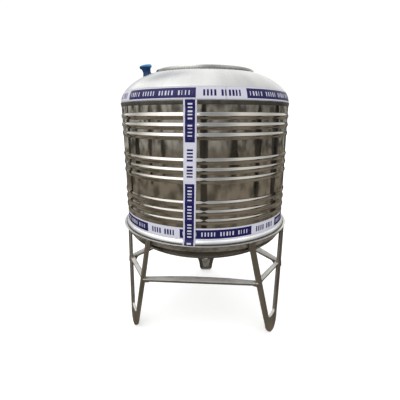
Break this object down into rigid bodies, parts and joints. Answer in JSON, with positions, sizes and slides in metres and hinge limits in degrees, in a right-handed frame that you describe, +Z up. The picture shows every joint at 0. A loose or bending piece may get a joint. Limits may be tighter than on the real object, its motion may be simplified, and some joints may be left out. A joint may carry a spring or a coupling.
{
  "type": "cylindrical steel water tank on a three-legged stand",
  "caption": "Upright ribbed stainless steel water tank with a domed top, lift-off manhole lid, air vent and dished bottom, on a stand of V-shaped channel legs.",
  "frame": {"origin": "on the ground under the tank's axis", "axes": "+Z up along the tank's axis, -Y towards the side seen in the picture, +Y towards the back leg"},
  "size_m": [0.9546, 0.953, 1.472],
  "materials": {
    "polished_steel": "polished",
    "satin_steel": "satin",
    "stand_steel": "dull",
    "blue_plastic": "semi-gloss",
    "marking_film": "semi-gloss"
  },
  "bodies": {
    "tank": {"wall_segment_1": "polished_steel", "wall_segment_2": "polished_steel", "wall_segment_3": "polished_steel", "wall_segment_4": "polished_steel", "wall_segment_5": "polished_steel", "wall_segment_6": "polished_steel", "wall_segment_7": "polished_steel", "wall_segment_8": "polished_steel", "base_hem": "polished_steel", "bottom_dish": "polished_steel", "shoulder_seam": "satin_steel", "dome": "satin_steel", "manhole_neck": "satin_steel", "vent_collar": "satin_steel", "vent_cap": "blue_plastic", "outlet_socket": "stand_steel", "outlet_plug": "stand_steel", "stand_ring": "stand_steel", "leg_front_right_a": "stand_steel", "leg_front_right_b": "stand_steel", "leg_back_a": "stand_steel", "leg_back_b": "stand_steel", "leg_front_left_a": "stand_steel", "leg_front_left_b": "stand_steel", "shoe_front_right": "stand_steel", "shoe_back": "stand_steel", "shoe_front_left": "stand_steel", "saddle_front_right_a": "stand_steel", "saddle_front_right_b": "stand_steel", "saddle_back_a": "stand_steel", "saddle_back_b": "stand_steel", "saddle_front_left_a": "stand_steel", "saddle_front_left_b": "stand_steel", "brace_front_right": "stand_steel", "brace_back": "stand_steel", "brace_front_left": "stand_steel", "brace_front_right_to_back": "stand_steel", "brace_back_to_front_left": "stand_steel", "brace_front_left_to_front_right": "stand_steel"},
    "lid": {"lid": "satin_steel", "lid_bail": "satin_steel"}
  },
  "joints": [
    {"name": "lid_lift", "type": "slide", "parent": "tank", "child": "lid", "axis": [0, 0, 1], "range_m": [0, 0.35]}
  ]
}
